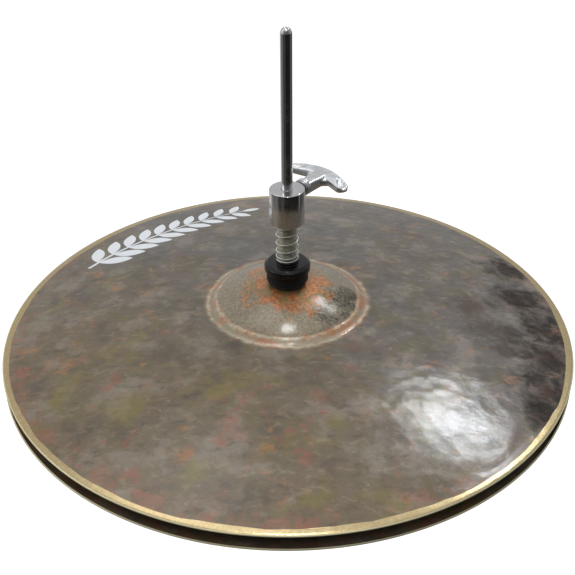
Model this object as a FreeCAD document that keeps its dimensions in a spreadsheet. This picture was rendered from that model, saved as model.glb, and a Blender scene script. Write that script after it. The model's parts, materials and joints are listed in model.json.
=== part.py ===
import FreeCAD, Part
import math
import os
import Sketcher
from FreeCAD import Placement, Rotation, Vector

# Hi-hat cymbals with their clutch, pull rod and tilting seat, as one parametric document.
# Millimetres. The origin is the centre of the stand tube's lower end and +Z points up the rod.

DIMENSIONS = {
    # stand tube and the casting on top of it
    "tube_radius": 9.5, "tube_wall": 1.2, "tube_length": 115.0,
    "neck_radius": 9.0, "neck_length": 25.0, "socket_depth": 24.0,
    "base_radius": 12.0, "base_shoulder": 4.0,
    "block_radius": 9.8, "block_height": 11.4,
    "bush_radius": 5.5, "slip": 0.05, "overlap": 1.0,
    "lug_reach": 20.0, "lug_radius": 5.5, "lug_thickness": 6.0,
    "clamp_radius": 2.5, "clamp_height": 101.0,
    # tilting seat plate
    "pivot_drop": 3.8, "pivot_radius": 2.0, "pivot_head_radius": 3.5, "pivot_head": 1.9,
    "pivot_inset": 6.5, "pivot_head_gap": 0.1, "tilt_clearance": 1.2,
    "ear_inner": 10.0, "ear_thickness": 4.0, "ear_radius": 4.5,
    "plate_radius": 23.0, "plate_thickness": 3.0,
    "spigot_bore": 4.9, "spigot_radius": 5.5, "spigot_height": 16.4,
    "sleeve_radius": 6.05, "sleeve_top_gap": 1.0,
    "seat_washer_radius": 20.0, "seat_washer_thickness": 1.2,
    "seat_felt_radius": 19.0, "seat_felt_thickness": 6.0, "felt_bore_gap": 0.25,
    # tilt screw, its lock nut and the rod's lock nut
    "tilt_screw_radius": 2.5, "tilt_head_radius": 6.0, "tilt_head_height": 8.0,
    "tilt_nut_gap": 2.0, "tilt_nut_thickness": 4.0, "tilt_nut_corner": 4.62,
    "rod_nut_thickness": 5.0, "rod_nut_corner": 5.77, "rod_nut_gap": 1.5,
    # cymbals
    "cymbal_radius": 177.8, "cymbal_thickness": 1.2, "hole_radius": 6.25,
    "bell_radius": 49.2, "bow_height": 18.4, "bow_arc": 650.0,
    "crown_radius": 12.5, "crown_height": 32.0, "bell_arc": 85.0,
    "rim_gap": 8.0,
    # pull rod
    "rod_radius": 3.4, "rod_above_rim": 193.9, "rod_drop": 20.0,
    "rod_dome": 3.2, "dome_shoulder_radius": 2.72, "dome_shoulder_drop": 1.44, "dome_flat": 1.02,
    "rod_stud_radius": 3.0, "rod_stud_length": 8.0,
    "rod_thread_radius": 3.2, "rod_thread_end": 15.0,
    # clutch
    "top_felt_height": 9.7, "top_felt_radius": 13.0, "top_felt_foot": 10.8, "top_felt_taper": 3.2,
    "cup_radius": 14.2, "cup_side": 4.1, "cup_face_radius": 12.0, "cup_chamfer": 1.4,
    "cup_boss_radius": 7.1, "cup_boss_height": 1.8,
    "spring_length": 25.8, "spring_radius": 6.6, "wire_radius": 0.45, "spring_turns": 5.0,
    "spring_end_gap": 0.1,
    "body_radius": 10.6, "body_height": 22.0, "body_chamfer": 0.6, "body_socket": 10.0,
    "thread_radius": 5.55, "thread_bore": 3.6, "thread_end": 2.0,
    "lower_felt_radius": 12.4, "lower_felt_thickness": 6.0,
    "nut_washer_radius": 10.0, "nut_washer_thickness": 1.5,
    "clutch_nut_corner": 9.24, "clutch_nut_height": 8.0,
    # wing screw
    "wing_heading": 52.0, "wing_roll": 5.0, "wing_drop": 5.2,
    "stud_radius": 3.0, "stud_tip": 3.43, "stud_end": 28.0,
    "lock_washer_start": 12.7, "lock_washer_radius": 5.0, "collar_start": 14.0,
    "collar_radius": 5.3, "boss_radius": 4.8, "ring_width": 1.2, "ring_gap": 0.6,
    "boss_end": 36.0, "boss_taper": 5.0, "boss_end_radius": 2.88,
    "wing_thickness": 6.0, "wing_edge": 2.2,
    "wing_back": 42.5, "wing_shoulder_reach": 6.0, "wing_back_arc": 24.0,
    "wing_tip": 33.5, "wing_tip_reach": 19.5, "wing_tip_half_width": 3.6, "wing_tip_arc": 3.78,
    "wing_inner": 31.0, "wing_inner_reach": 9.0, "wing_root": 26.2, "wing_root_reach": 3.36,
}


class Size:
    """A length that carries both its number and the sheet expression that gives it."""

    def __init__(self, text, number):
        self.text = text
        self.number = number

    def __add__(self, other):
        return Size(f"({self.text} + {text_of(other)})", self.number + number_of(other))

    def __sub__(self, other):
        return Size(f"({self.text} - {text_of(other)})", self.number - number_of(other))

    def __mul__(self, other):
        return Size(f"({self.text} * {text_of(other)})", self.number * number_of(other))

    def __truediv__(self, other):
        return Size(f"({self.text} / {text_of(other)})", self.number / number_of(other))

    def __neg__(self):
        return Size(f"(0 - {self.text})", -self.number)


def text_of(size):
    return size.text if isinstance(size, Size) else str(size)


def number_of(size):
    return size.number if isinstance(size, Size) else size


ZERO = Size("0", 0.0)

doc = FreeCAD.newDocument("HiHat")
sheet = doc.addObject("Spreadsheet::Sheet", "Dims")
for row, (alias, number) in enumerate(DIMENSIONS.items(), start=1):
    sheet.set(f"A{row}", alias)
    sheet.set(f"B{row}", str(number))
    sheet.setAlias(f"B{row}", alias)
doc.recompute()
d = {alias: Size(f"Dims.{alias}", number) for alias, number in DIMENSIONS.items()}

# Heights up the rod axis, each worked out from the piece below it.
BASE_BOTTOM = d["tube_length"] - d["socket_depth"]
SHOULDER = d["tube_length"] + d["base_shoulder"]
BLOCK_TOP = SHOULDER + d["block_height"]
PLATE_BOTTOM = BLOCK_TOP + d["tilt_clearance"]
PIVOT = PLATE_BOTTOM - d["pivot_drop"]
PLATE_TOP = PLATE_BOTTOM + d["plate_thickness"]
SEAT_FELT_BOTTOM = PLATE_TOP + d["seat_washer_thickness"]
BOTTOM_CROWN = SEAT_FELT_BOTTOM + d["seat_felt_thickness"]
BOTTOM_RIM = BOTTOM_CROWN + d["crown_height"] + d["cymbal_thickness"]
TOP_RIM = BOTTOM_RIM + d["rim_gap"]
TOP_CROWN = TOP_RIM + d["crown_height"] + d["cymbal_thickness"]
CUP_BOTTOM = TOP_CROWN + d["top_felt_height"]
CUP_TOP = CUP_BOTTOM + d["cup_side"] + d["cup_chamfer"] + d["cup_boss_height"]
BODY_BOTTOM = CUP_TOP + d["spring_length"]
BODY_TOP = BODY_BOTTOM + d["body_height"]
WING_HEIGHT = BODY_TOP - d["wing_drop"]
LOWER_FELT_BOTTOM = TOP_RIM + d["crown_height"] - d["lower_felt_thickness"]
CLUTCH_NUT_TOP = LOWER_FELT_BOTTOM - d["nut_washer_thickness"]
CLUTCH_NUT_BOTTOM = CLUTCH_NUT_TOP - d["clutch_nut_height"]
LUG_BOTTOM = SHOULDER - d["lug_thickness"]
TILT_NUT_BOTTOM = LUG_BOTTOM - d["tilt_nut_thickness"]
TILT_HEAD_TOP = TILT_NUT_BOTTOM - d["tilt_nut_gap"]

pieces = []


def keep(piece, label):
    """Name a finished sub-part and put it on the list that is written out."""
    piece.Label = label
    pieces.append(piece)
    return piece


def bind(obj, path, size):
    obj.setExpression(path, text_of(size))


def origin_plane(body, role):
    return next(item for item in body.Origin.OriginFeatures if item.Role == role)


def pin_vertex(sketch, geometry, end, across, up):
    """Hold one sketch vertex at its two sizes, or on an axis where a size is zero."""
    for kind, size, axis in (("DistanceX", across, -2), ("DistanceY", up, -1)):
        if number_of(size) == 0:
            sketch.addConstraint(Sketcher.Constraint("PointOnObject", geometry, end, axis))
            continue
        index = sketch.addConstraint(
            Sketcher.Constraint(kind, -1, 1, geometry, end, number_of(size)))
        sketch.setExpression(f"Constraints[{index}]", text_of(size))


def arc_between(start, end, radius, bulge):
    """The minor arc from start to end; bulge is 1 to the left of the way it runs, -1 to the right."""
    chord = end - start
    rise = math.sqrt(radius ** 2 - (chord.Length / 2) ** 2)
    right = Vector(chord.y, -chord.x, 0).normalize()
    centre = (start + end) * 0.5 + right * rise * bulge
    ends = (end, start) if bulge > 0 else (start, end)
    angles = [math.atan2(point.y - centre.y, point.x - centre.x) for point in ends]
    if angles[1] < angles[0]:
        angles[1] += 2 * math.pi
    return Part.ArcOfCircle(Part.Circle(centre, Vector(0, 0, 1), radius), *angles)


def outline_sketch(body, name, plane, outline):
    """A closed outline of (across, up) corners.

    A corner that starts an arc also has the arc's radius and the side that it bulges to.
    """
    sketch = body.newObject("Sketcher::SketchObject", name)
    sketch.AttachmentSupport = [(origin_plane(body, plane), "")]
    sketch.MapMode = "FlatFace"
    count = len(outline)
    starts = []
    for number, corner in enumerate(outline):
        following = outline[(number + 1) % count]
        start = Vector(number_of(corner[0]), number_of(corner[1]), 0)
        end = Vector(number_of(following[0]), number_of(following[1]), 0)
        if len(corner) == 4:
            sketch.addGeometry(arc_between(start, end, number_of(corner[2]), corner[3]))
            starts.append(2 if corner[3] > 0 else 1)
        else:
            sketch.addGeometry(Part.LineSegment(start, end))
            starts.append(1)
    for number, corner in enumerate(outline):
        following = (number + 1) % count
        sketch.addConstraint(Sketcher.Constraint(
            "Coincident", number, 3 - starts[number], following, starts[following]))
        pin_vertex(sketch, number, starts[number], corner[0], corner[1])
        if len(corner) == 4:
            index = sketch.addConstraint(
                Sketcher.Constraint("Radius", number, number_of(corner[2])))
            sketch.setExpression(f"Constraints[{index}]", text_of(corner[2]))
    return sketch


def turned(label, outline, bottom=ZERO):
    """A piece turned about the rod axis from an outline of (radius, height) corners."""
    body = doc.addObject("PartDesign::Body", label)
    sketch = outline_sketch(body, f"{label}_outline", "XZ_Plane", outline)
    revolution = body.newObject("PartDesign::Revolution", f"{label}_turning")
    revolution.Profile = sketch
    revolution.ReferenceAxis = (sketch, ["V_Axis"])
    revolution.Angle = 360
    sketch.Visibility = False
    bind(body, "Placement.Base.z", bottom)
    return body


def tube_outline(outer, inner, height):
    return [(inner, ZERO), (outer, ZERO), (outer, height), (inner, height)]


def cylinder(name, radius, height, bottom=ZERO, across=ZERO):
    solid = doc.addObject("Part::Cylinder", name)
    bind(solid, "Radius", radius)
    bind(solid, "Height", height)
    bind(solid, "Placement.Base.x", across)
    bind(solid, "Placement.Base.z", bottom)
    return solid


def cross_cylinder(name, radius, height, start, side):
    """A cylinder along Y that starts at distance start from the rod axis, on the given side."""
    solid = doc.addObject("Part::Cylinder", name)
    bind(solid, "Radius", radius)
    bind(solid, "Height", height)
    solid.Placement.Rotation = Rotation(Vector(1, 0, 0), -90 * side)
    bind(solid, "Placement.Base.y", start * side)
    return solid


def box(name, length, width, height, corner):
    solid = doc.addObject("Part::Box", name)
    bind(solid, "Length", length)
    bind(solid, "Width", width)
    bind(solid, "Height", height)
    for axis, size in zip("xyz", corner):
        bind(solid, f"Placement.Base.{axis}", size)
    return solid


def fuse(name, shapes):
    joined = doc.addObject("Part::MultiFuse", name)
    joined.Shapes = shapes
    return joined


def cut(name, base, tool):
    cutting = doc.addObject("Part::Cut", name)
    cutting.Base = base
    cutting.Tool = tool
    return cutting


def hex_nut(label, corner, height, bore, bottom, across=ZERO):
    blank = doc.addObject("Part::Prism", f"{label}_blank")
    blank.Polygon = 6
    bind(blank, "Circumradius", corner)
    bind(blank, "Height", height)
    nut = cut(label, blank, cylinder(f"{label}_bore", bore, height))
    bind(nut, "Placement.Base.x", across)
    bind(nut, "Placement.Base.z", bottom)
    return keep(nut, label)


def place_on_wing_axis(obj, roll=ZERO):
    """Turn a piece built along +X so that it lies on the wing screw's axis."""
    heading = Rotation(Vector(0, 0, 1), d["wing_heading"].number)
    tilt = Rotation(Vector(1, 0, 0), number_of(roll))
    obj.Placement = Placement(Vector(0, 0, 0), heading.multiply(tilt))
    bind(obj, "Placement.Base.z", WING_HEIGHT)


def make_stand_tube():
    """The tube, whose upper end is turned down to a neck for the casting."""
    bore = d["tube_radius"] - d["tube_wall"]
    neck = d["tube_length"] - d["neck_length"]
    outline = [
        (bore, ZERO), (d["tube_radius"], ZERO), (d["tube_radius"], neck),
        (d["neck_radius"], neck), (d["neck_radius"], d["tube_length"]), (bore, d["tube_length"])]
    keep(turned("stand_tube", outline), "stand_tube")


def make_seat_base():
    """The casting: a socket over the tube's neck, a block for the pivots and a lug for the tilt screw."""
    core = turned("seat_base_core", [
        (d["neck_radius"], BASE_BOTTOM), (d["base_radius"], BASE_BOTTOM),
        (d["base_radius"], SHOULDER), (d["block_radius"], SHOULDER),
        (d["block_radius"], BLOCK_TOP), (d["bush_radius"], BLOCK_TOP),
        (d["bush_radius"], d["tube_length"]), (d["neck_radius"], d["tube_length"])])
    arm_start = d["block_radius"] + d["overlap"]
    arm = box("seat_base_arm", d["lug_reach"] - arm_start, d["lug_radius"] * 2,
              d["lug_thickness"], (arm_start, -d["lug_radius"], LUG_BOTTOM))
    eye = cylinder("seat_base_eye", d["lug_radius"], d["lug_thickness"], LUG_BOTTOM, d["lug_reach"])
    blank = fuse("seat_base_blank", [core, arm, eye])
    holes = [cylinder("seat_base_screw_hole", d["tilt_screw_radius"] + d["slip"],
                      d["lug_thickness"], LUG_BOTTOM, d["lug_reach"])]
    for side, word in ((1, "left"), (-1, "right")):
        hole = cross_cylinder(f"seat_base_pivot_hole_{word}", d["pivot_radius"],
                              d["block_radius"], d["pivot_inset"], side)
        bind(hole, "Placement.Base.z", PIVOT)
        holes.append(hole)
    clamp_hole = cross_cylinder("seat_base_clamp_hole", d["clamp_radius"], d["base_radius"],
                                d["neck_radius"] - d["overlap"], -1)
    bind(clamp_hole, "Placement.Base.z", d["clamp_height"])
    holes.append(clamp_hole)
    keep(cut("seat_base", blank, fuse("seat_base_holes", holes)), "seat_base")


def make_rod_bush():
    outline = tube_outline(d["bush_radius"], d["rod_radius"] + d["slip"],
                           BLOCK_TOP - d["tube_length"])
    keep(turned("rod_bush", outline, d["tube_length"]), "rod_bush")


def make_base_clamp_screw():
    screw = cross_cylinder("base_clamp_screw", d["clamp_radius"],
                           d["base_radius"] - d["neck_radius"], d["neck_radius"], -1)
    bind(screw, "Placement.Base.z", d["clamp_height"])
    keep(screw, "base_clamp_screw")


def make_pivot_screws():
    """Two equal shoulder screws, one for each ear of the seat plate."""
    solids = []
    head_start = d["ear_inner"] + d["ear_thickness"] + d["pivot_head_gap"]
    for side, word in ((1, "left"), (-1, "right")):
        shank = cross_cylinder(f"pivot_shank_{word}", d["pivot_radius"],
                               head_start - d["pivot_inset"], d["pivot_inset"], side)
        head = cross_cylinder(f"pivot_head_{word}", d["pivot_head_radius"],
                              d["pivot_head"], head_start, side)
        solids += [shank, head]
    screws = fuse("pivot_screws", solids)
    bind(screws, "Placement.Base.z", PIVOT)
    keep(screws, "pivot_screws")


def make_seat_plate():
    """The disc under the lower felt, with its spigot above and two pivot ears below."""
    spigot_top = PLATE_TOP + d["spigot_height"]
    disc = turned("seat_plate_disc", [
        (d["spigot_bore"], PLATE_BOTTOM), (d["plate_radius"], PLATE_BOTTOM),
        (d["plate_radius"], PLATE_TOP), (d["spigot_radius"], PLATE_TOP),
        (d["spigot_radius"], spigot_top), (d["spigot_bore"], spigot_top)])
    solids = [disc]
    for side, word in ((1, "left"), (-1, "right")):
        ear = cross_cylinder(f"seat_ear_{word}", d["ear_radius"], d["ear_thickness"],
                             d["ear_inner"], side)
        bind(ear, "Placement.Base.z", PIVOT)
        near = d["ear_inner"] if side > 0 else -(d["ear_inner"] + d["ear_thickness"])
        web = box(f"seat_ear_web_{word}", d["ear_radius"] * 2, d["ear_thickness"],
                  d["pivot_drop"] + d["overlap"], (-d["ear_radius"], near, PIVOT))
        solids += [ear, web]
    hole = cross_cylinder("seat_ear_hole", d["pivot_radius"] + d["slip"], d["plate_radius"] * 2,
                          -d["plate_radius"], 1)
    bind(hole, "Placement.Base.z", PIVOT)
    keep(cut("seat_plate", fuse("seat_plate_blank", solids), hole), "seat_plate")


def make_seat_soft_parts():
    sleeve = tube_outline(d["sleeve_radius"], d["spigot_radius"],
                          d["spigot_height"] + d["sleeve_top_gap"])
    keep(turned("seat_sleeve", sleeve, PLATE_TOP), "seat_sleeve")
    bore = d["sleeve_radius"] + d["felt_bore_gap"]
    washer = tube_outline(d["seat_washer_radius"], bore, d["seat_washer_thickness"])
    keep(turned("seat_washer", washer, PLATE_TOP), "seat_washer")
    felt = tube_outline(d["seat_felt_radius"], bore, d["seat_felt_thickness"])
    keep(turned("seat_felt", felt, SEAT_FELT_BOTTOM), "seat_felt")


def make_tilt_screw():
    head_bottom = TILT_HEAD_TOP - d["tilt_head_height"]
    head = cylinder("tilt_screw_head", d["tilt_head_radius"], d["tilt_head_height"],
                    head_bottom, d["lug_reach"])
    shank = cylinder("tilt_screw_shank", d["tilt_screw_radius"], PLATE_BOTTOM - head_bottom,
                     head_bottom, d["lug_reach"])
    keep(fuse("tilt_screw", [head, shank]), "tilt_screw")
    hex_nut("tilt_lock_nut", d["tilt_nut_corner"], d["tilt_nut_thickness"],
            d["tilt_screw_radius"] + d["slip"], TILT_NUT_BOTTOM, d["lug_reach"])


def cymbal(label):
    """A cymbal in its own frame, bell up, with the inside of its rim at height zero."""
    thick = d["cymbal_thickness"]
    bow = d["bow_height"]
    crown = d["crown_height"]
    return turned(label, [
        (d["cymbal_radius"], ZERO), (d["cymbal_radius"], thick, d["bow_arc"], -1),
        (d["bell_radius"], bow + thick, d["bell_arc"], -1), (d["crown_radius"], crown + thick),
        (d["hole_radius"], crown + thick), (d["hole_radius"], crown),
        (d["crown_radius"], crown, d["bell_arc"], 1), (d["bell_radius"], bow, d["bow_arc"], 1)])


def make_cymbals():
    top = cymbal("top_cymbal")
    bind(top, "Placement.Base.z", TOP_RIM)
    keep(top, "top_cymbal")
    bottom = cymbal("bottom_cymbal")
    bottom.Placement.Rotation = Rotation(Vector(1, 0, 0), 180)
    bind(bottom, "Placement.Base.z", BOTTOM_RIM)
    keep(bottom, "bottom_cymbal")


def make_pull_rod():
    """Plain rod with a domed top, and below it a thread for the lock nut and a thinner stud."""
    length = TOP_RIM + d["rod_above_rim"] + d["rod_drop"]
    outline = [
        (ZERO, ZERO), (d["rod_stud_radius"], ZERO), (d["rod_stud_radius"], d["rod_stud_length"]),
        (d["rod_thread_radius"], d["rod_stud_length"]), (d["rod_thread_radius"], d["rod_thread_end"]),
        (d["rod_radius"], d["rod_thread_end"]), (d["rod_radius"], length - d["rod_dome"]),
        (d["dome_shoulder_radius"], length - d["dome_shoulder_drop"]),
        (d["dome_flat"], length), (ZERO, length)]
    keep(turned("pull_rod", outline, -d["rod_drop"]), "pull_rod")
    hex_nut("rod_lock_nut", d["rod_nut_corner"], d["rod_nut_thickness"], d["rod_thread_radius"],
            d["rod_thread_end"] - d["rod_drop"] - d["rod_nut_gap"] - d["rod_nut_thickness"])


def make_clutch_body():
    """The turned sleeve that clamps on the rod, with a cross hole for the wing screw."""
    chamfer = d["body_chamfer"]
    socket_top = BODY_BOTTOM + d["body_socket"]
    blank = turned("clutch_body_blank", [
        (d["thread_radius"], BODY_BOTTOM), (d["body_radius"] - chamfer, BODY_BOTTOM),
        (d["body_radius"], BODY_BOTTOM + chamfer), (d["body_radius"], BODY_TOP - chamfer),
        (d["body_radius"] - chamfer, BODY_TOP), (d["rod_radius"] + d["slip"], BODY_TOP),
        (d["rod_radius"] + d["slip"], socket_top), (d["thread_radius"], socket_top)])
    hole = doc.addObject("Part::Cylinder", "clutch_body_hole")
    bind(hole, "Radius", d["stud_radius"] + d["slip"])
    bind(hole, "Height", d["body_radius"] * 2)
    place_on_wing_axis(hole)
    hole.Placement.Rotation = hole.Placement.Rotation.multiply(Rotation(Vector(0, 1, 0), 90))
    keep(cut("clutch_body", blank, hole), "clutch_body")


def make_clutch_tube():
    bottom = CLUTCH_NUT_BOTTOM - d["thread_end"]
    height = BODY_BOTTOM + d["body_socket"] - bottom
    outline = tube_outline(d["thread_radius"], d["thread_bore"], height)
    keep(turned("clutch_tube", outline, bottom), "clutch_tube")


def make_clutch_spring():
    """A coil between the cup's boss and the clutch body; its wire has eight flats."""
    end_space = d["wire_radius"] + d["spring_end_gap"]
    rise = d["spring_length"] - end_space * 2
    spine = doc.addObject("Part::Helix", "spring_spine")
    bind(spine, "Height", rise)
    bind(spine, "Pitch", rise / d["spring_turns"])
    bind(spine, "Radius", d["spring_radius"])
    spine.SegmentLength = 1
    doc.recompute()
    wire = doc.addObject("Part::RegularPolygon", "spring_wire")
    wire.Polygon = 8
    bind(wire, "Circumradius", d["wire_radius"])
    wire.Placement.Rotation = Rotation(Vector(1, 0, 0), 90)
    bind(wire, "Placement.Base.x", d["spring_radius"])
    spring = doc.addObject("Part::Sweep", "clutch_spring")
    spring.Sections = [wire]
    spring.Spine = (spine, [f"Edge{number}" for number in range(1, len(spine.Shape.Edges) + 1)])
    spring.Solid = True
    spring.Frenet = True
    bind(spring, "Placement.Base.z", CUP_TOP + end_space)
    keep(spring, "clutch_spring")


def make_felt_cup():
    bore = d["thread_radius"] + d["slip"] * 2
    side_top = CUP_BOTTOM + d["cup_side"]
    face = side_top + d["cup_chamfer"]
    keep(turned("felt_cup", [
        (bore, CUP_BOTTOM), (d["cup_radius"], CUP_BOTTOM), (d["cup_radius"], side_top),
        (d["cup_face_radius"], face), (d["cup_boss_radius"], face),
        (d["cup_boss_radius"], CUP_TOP), (bore, CUP_TOP)]), "felt_cup")


def make_clutch_felts():
    bore = d["thread_radius"] + d["felt_bore_gap"]
    keep(turned("top_felt", [
        (bore, TOP_CROWN), (d["top_felt_foot"], TOP_CROWN),
        (d["top_felt_radius"], TOP_CROWN + d["top_felt_taper"]),
        (d["top_felt_radius"], CUP_BOTTOM), (bore, CUP_BOTTOM)]), "top_felt")
    lower = tube_outline(d["lower_felt_radius"], bore, d["lower_felt_thickness"])
    keep(turned("lower_felt", lower, LOWER_FELT_BOTTOM), "lower_felt")


def make_clutch_nut():
    washer = tube_outline(d["nut_washer_radius"], d["thread_radius"] + d["slip"] * 2,
                          d["nut_washer_thickness"])
    keep(turned("nut_washer", washer, CLUTCH_NUT_TOP), "nut_washer")
    hex_nut("clutch_nut", d["clutch_nut_corner"], d["clutch_nut_height"],
            d["thread_radius"] + d["slip"], CLUTCH_NUT_BOTTOM)


def along_wing(label, outline):
    """A piece turned about its own +X axis from (distance, radius) corners."""
    body = doc.addObject("PartDesign::Body", label)
    sketch = outline_sketch(body, f"{label}_outline", "XY_Plane", outline)
    revolution = body.newObject("PartDesign::Revolution", f"{label}_turning")
    revolution.Profile = sketch
    revolution.ReferenceAxis = (sketch, ["H_Axis"])
    revolution.Angle = 360
    sketch.Visibility = False
    return body


def make_wing_fasteners():
    stud = along_wing("wing_stud", [
        (d["stud_tip"], ZERO), (d["stud_end"], ZERO),
        (d["stud_end"], d["stud_radius"]), (d["stud_tip"], d["stud_radius"])])
    place_on_wing_axis(stud)
    keep(stud, "wing_stud")
    inner = d["stud_radius"] + d["slip"]
    washer = along_wing("wing_lock_washer", [
        (d["lock_washer_start"], inner), (d["collar_start"], inner),
        (d["collar_start"], d["lock_washer_radius"]),
        (d["lock_washer_start"], d["lock_washer_radius"])])
    place_on_wing_axis(washer)
    keep(washer, "wing_lock_washer")


def wing_outline():
    """The grip seen from above: one swept-back arm with a round tip, then its mirror image."""
    back = d["wing_back"]
    outer = (d["wing_tip"] + d["wing_tip_half_width"], d["wing_tip_reach"])
    inner = (d["wing_tip"] - d["wing_tip_half_width"], d["wing_tip_reach"])
    armpit = (d["wing_inner"], d["wing_inner_reach"])
    root = (d["wing_root"], d["wing_root_reach"])
    return [
        (back, -d["wing_shoulder_reach"]), (back, d["wing_shoulder_reach"], d["wing_back_arc"], -1),
        outer + (d["wing_tip_arc"], -1), inner, armpit, root,
        (root[0], -root[1]), (armpit[0], -armpit[1]),
        (inner[0], -inner[1], d["wing_tip_arc"], -1),
        (outer[0], -outer[1], d["wing_back_arc"], -1)]


def make_wing_handle():
    """The cast wing: a boss with two collar rings, and a swept-back grip on its outer end."""
    first_end = d["collar_start"] + d["ring_width"]
    second_start = first_end + d["ring_gap"]
    second_end = second_start + d["ring_width"]
    handle = along_wing("wing_handle", [
        (d["collar_start"], ZERO), (d["boss_end"], ZERO), (d["boss_end"], d["boss_end_radius"]),
        (d["boss_end"] - d["boss_taper"], d["boss_radius"]), (second_end, d["boss_radius"]),
        (second_end, d["collar_radius"]), (second_start, d["collar_radius"]),
        (second_start, d["boss_radius"]), (first_end, d["boss_radius"]),
        (first_end, d["collar_radius"]), (d["collar_start"], d["collar_radius"])])
    outline = outline_sketch(handle, "wing_handle_grip_outline", "XY_Plane", wing_outline())
    grip = handle.newObject("PartDesign::Pad", "wing_handle_grip")
    grip.Profile = outline
    bind(grip, "Length", d["wing_thickness"])
    grip.Midplane = True
    outline.Visibility = False
    bore_outline = outline_sketch(handle, "wing_handle_bore_outline", "XY_Plane", [
        (d["collar_start"], ZERO), (d["stud_end"], ZERO),
        (d["stud_end"], d["stud_radius"]), (d["collar_start"], d["stud_radius"])])
    bore = handle.newObject("PartDesign::Groove", "wing_handle_bore")
    bore.Profile = bore_outline
    bore.ReferenceAxis = (bore_outline, ["H_Axis"])
    bore.Angle = 360
    bore_outline.Visibility = False
    doc.recompute()
    rounding = handle.newObject("PartDesign::Fillet", "wing_handle_rounding")
    rounding.Base = (bore, grip_edges(bore.Shape))
    bind(rounding, "Radius", d["wing_edge"])
    handle.Tip = rounding
    place_on_wing_axis(handle, d["wing_roll"])
    keep(handle, "wing_handle")


def grip_edges(shape):
    """The edges along the back of the grip, on its top and bottom faces."""
    level = d["wing_thickness"].number / 2
    tips = (d["wing_tip"] + d["wing_tip_half_width"]).number
    close = 1e-4
    names = []
    for number, edge in enumerate(shape.Edges, start=1):
        first, last = edge.Vertexes[0].Point, edge.Vertexes[-1].Point
        along_face = abs(abs(first.z) - level) < close and abs(first.z - last.z) < close
        if along_face and min(first.x, last.x) > tips - close:
            names.append(f"Edge{number}")
    return names


def check_document():
    """Stop before anything is written if a feature failed or a shape is not sound."""
    for obj in doc.Objects:
        if "Invalid" in obj.State or "Error" in obj.State:
            raise RuntimeError(f"{obj.Label}: {obj.State}")
    for piece in pieces:
        if piece.Shape.isNull() or not piece.Shape.isValid() or not piece.Shape.Solids:
            raise RuntimeError(f"{piece.Label}: the shape is not sound")


def main():
    make_stand_tube()
    make_seat_base()
    make_rod_bush()
    make_base_clamp_screw()
    make_pivot_screws()
    make_seat_plate()
    make_seat_soft_parts()
    make_tilt_screw()
    make_cymbals()
    make_pull_rod()
    make_clutch_body()
    make_clutch_tube()
    make_clutch_spring()
    make_felt_cup()
    make_clutch_felts()
    make_clutch_nut()
    make_wing_fasteners()
    make_wing_handle()
    doc.recompute()
    check_document()
    os.makedirs("parts", exist_ok=True)
    for piece in pieces:
        piece.Shape.exportStep(os.path.join("parts", f"{piece.Label}.step"))
        box_of = piece.Shape.BoundBox
        print(f"{piece.Label:18s} solids {len(piece.Shape.Solids)} volume {piece.Shape.Volume:10.1f}"
              f" z {box_of.ZMin:8.2f} {box_of.ZMax:8.2f}")


main()
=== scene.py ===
import functools
import json
import math

import bmesh
import bpy
import numpy as np
from mathutils import Euler, Matrix, Vector
from mathutils.noise import noise as perlin

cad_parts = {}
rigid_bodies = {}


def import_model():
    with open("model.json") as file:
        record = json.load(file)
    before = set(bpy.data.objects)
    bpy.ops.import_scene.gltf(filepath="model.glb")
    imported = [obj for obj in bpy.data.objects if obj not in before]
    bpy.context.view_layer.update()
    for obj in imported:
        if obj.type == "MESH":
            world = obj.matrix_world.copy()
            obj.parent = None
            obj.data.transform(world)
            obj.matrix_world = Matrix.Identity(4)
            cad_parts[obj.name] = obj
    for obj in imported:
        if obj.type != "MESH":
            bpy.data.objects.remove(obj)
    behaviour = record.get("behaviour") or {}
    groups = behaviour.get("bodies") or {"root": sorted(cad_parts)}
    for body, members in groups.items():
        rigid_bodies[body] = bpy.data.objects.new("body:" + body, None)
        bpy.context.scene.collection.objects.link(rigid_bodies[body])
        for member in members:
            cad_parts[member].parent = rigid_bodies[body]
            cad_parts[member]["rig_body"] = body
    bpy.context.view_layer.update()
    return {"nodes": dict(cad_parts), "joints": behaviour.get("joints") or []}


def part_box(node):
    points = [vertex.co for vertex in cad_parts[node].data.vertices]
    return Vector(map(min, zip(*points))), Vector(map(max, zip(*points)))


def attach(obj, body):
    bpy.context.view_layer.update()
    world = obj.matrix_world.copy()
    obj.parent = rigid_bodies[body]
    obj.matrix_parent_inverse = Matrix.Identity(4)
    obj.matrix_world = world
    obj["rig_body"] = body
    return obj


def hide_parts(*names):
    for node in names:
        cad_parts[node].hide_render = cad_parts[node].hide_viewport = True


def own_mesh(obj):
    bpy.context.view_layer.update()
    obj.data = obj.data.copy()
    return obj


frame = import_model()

# Lengths are millimetres until a mesh is made, and metres for the stage. Heights start at the stand tube's
# lower end.
MM = 0.001
TAU = 2 * math.pi
THREAD_SEGMENTS = 48


# ---- frame sizes

@functools.cache
def extent(node):
    """Lowest and highest corner of a CAD node, in millimetres."""
    low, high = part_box(node)
    return np.array(low) / MM, np.array(high) / MM


def bottom_of(node):
    return extent(node)[0][2]


def top_of(node):
    return extent(node)[1][2]


def radius_of(node):
    return extent(node)[1][0]


def sizes(node):
    """Bottom, top and radius of a CAD node on the main axis."""
    return bottom_of(node), top_of(node), radius_of(node)


def joint(name):
    return next(entry for entry in frame["joints"] if entry["name"] == name)


# ---- shapes

def angles(segments):
    return np.arange(segments) * TAU / segments


def rotated(arm, angle):
    """A level vector turned by an angle."""
    cosine, sine = math.cos(angle), math.sin(angle)
    return np.array([arm[0] * cosine - arm[1] * sine, arm[0] * sine + arm[1] * cosine])


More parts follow.
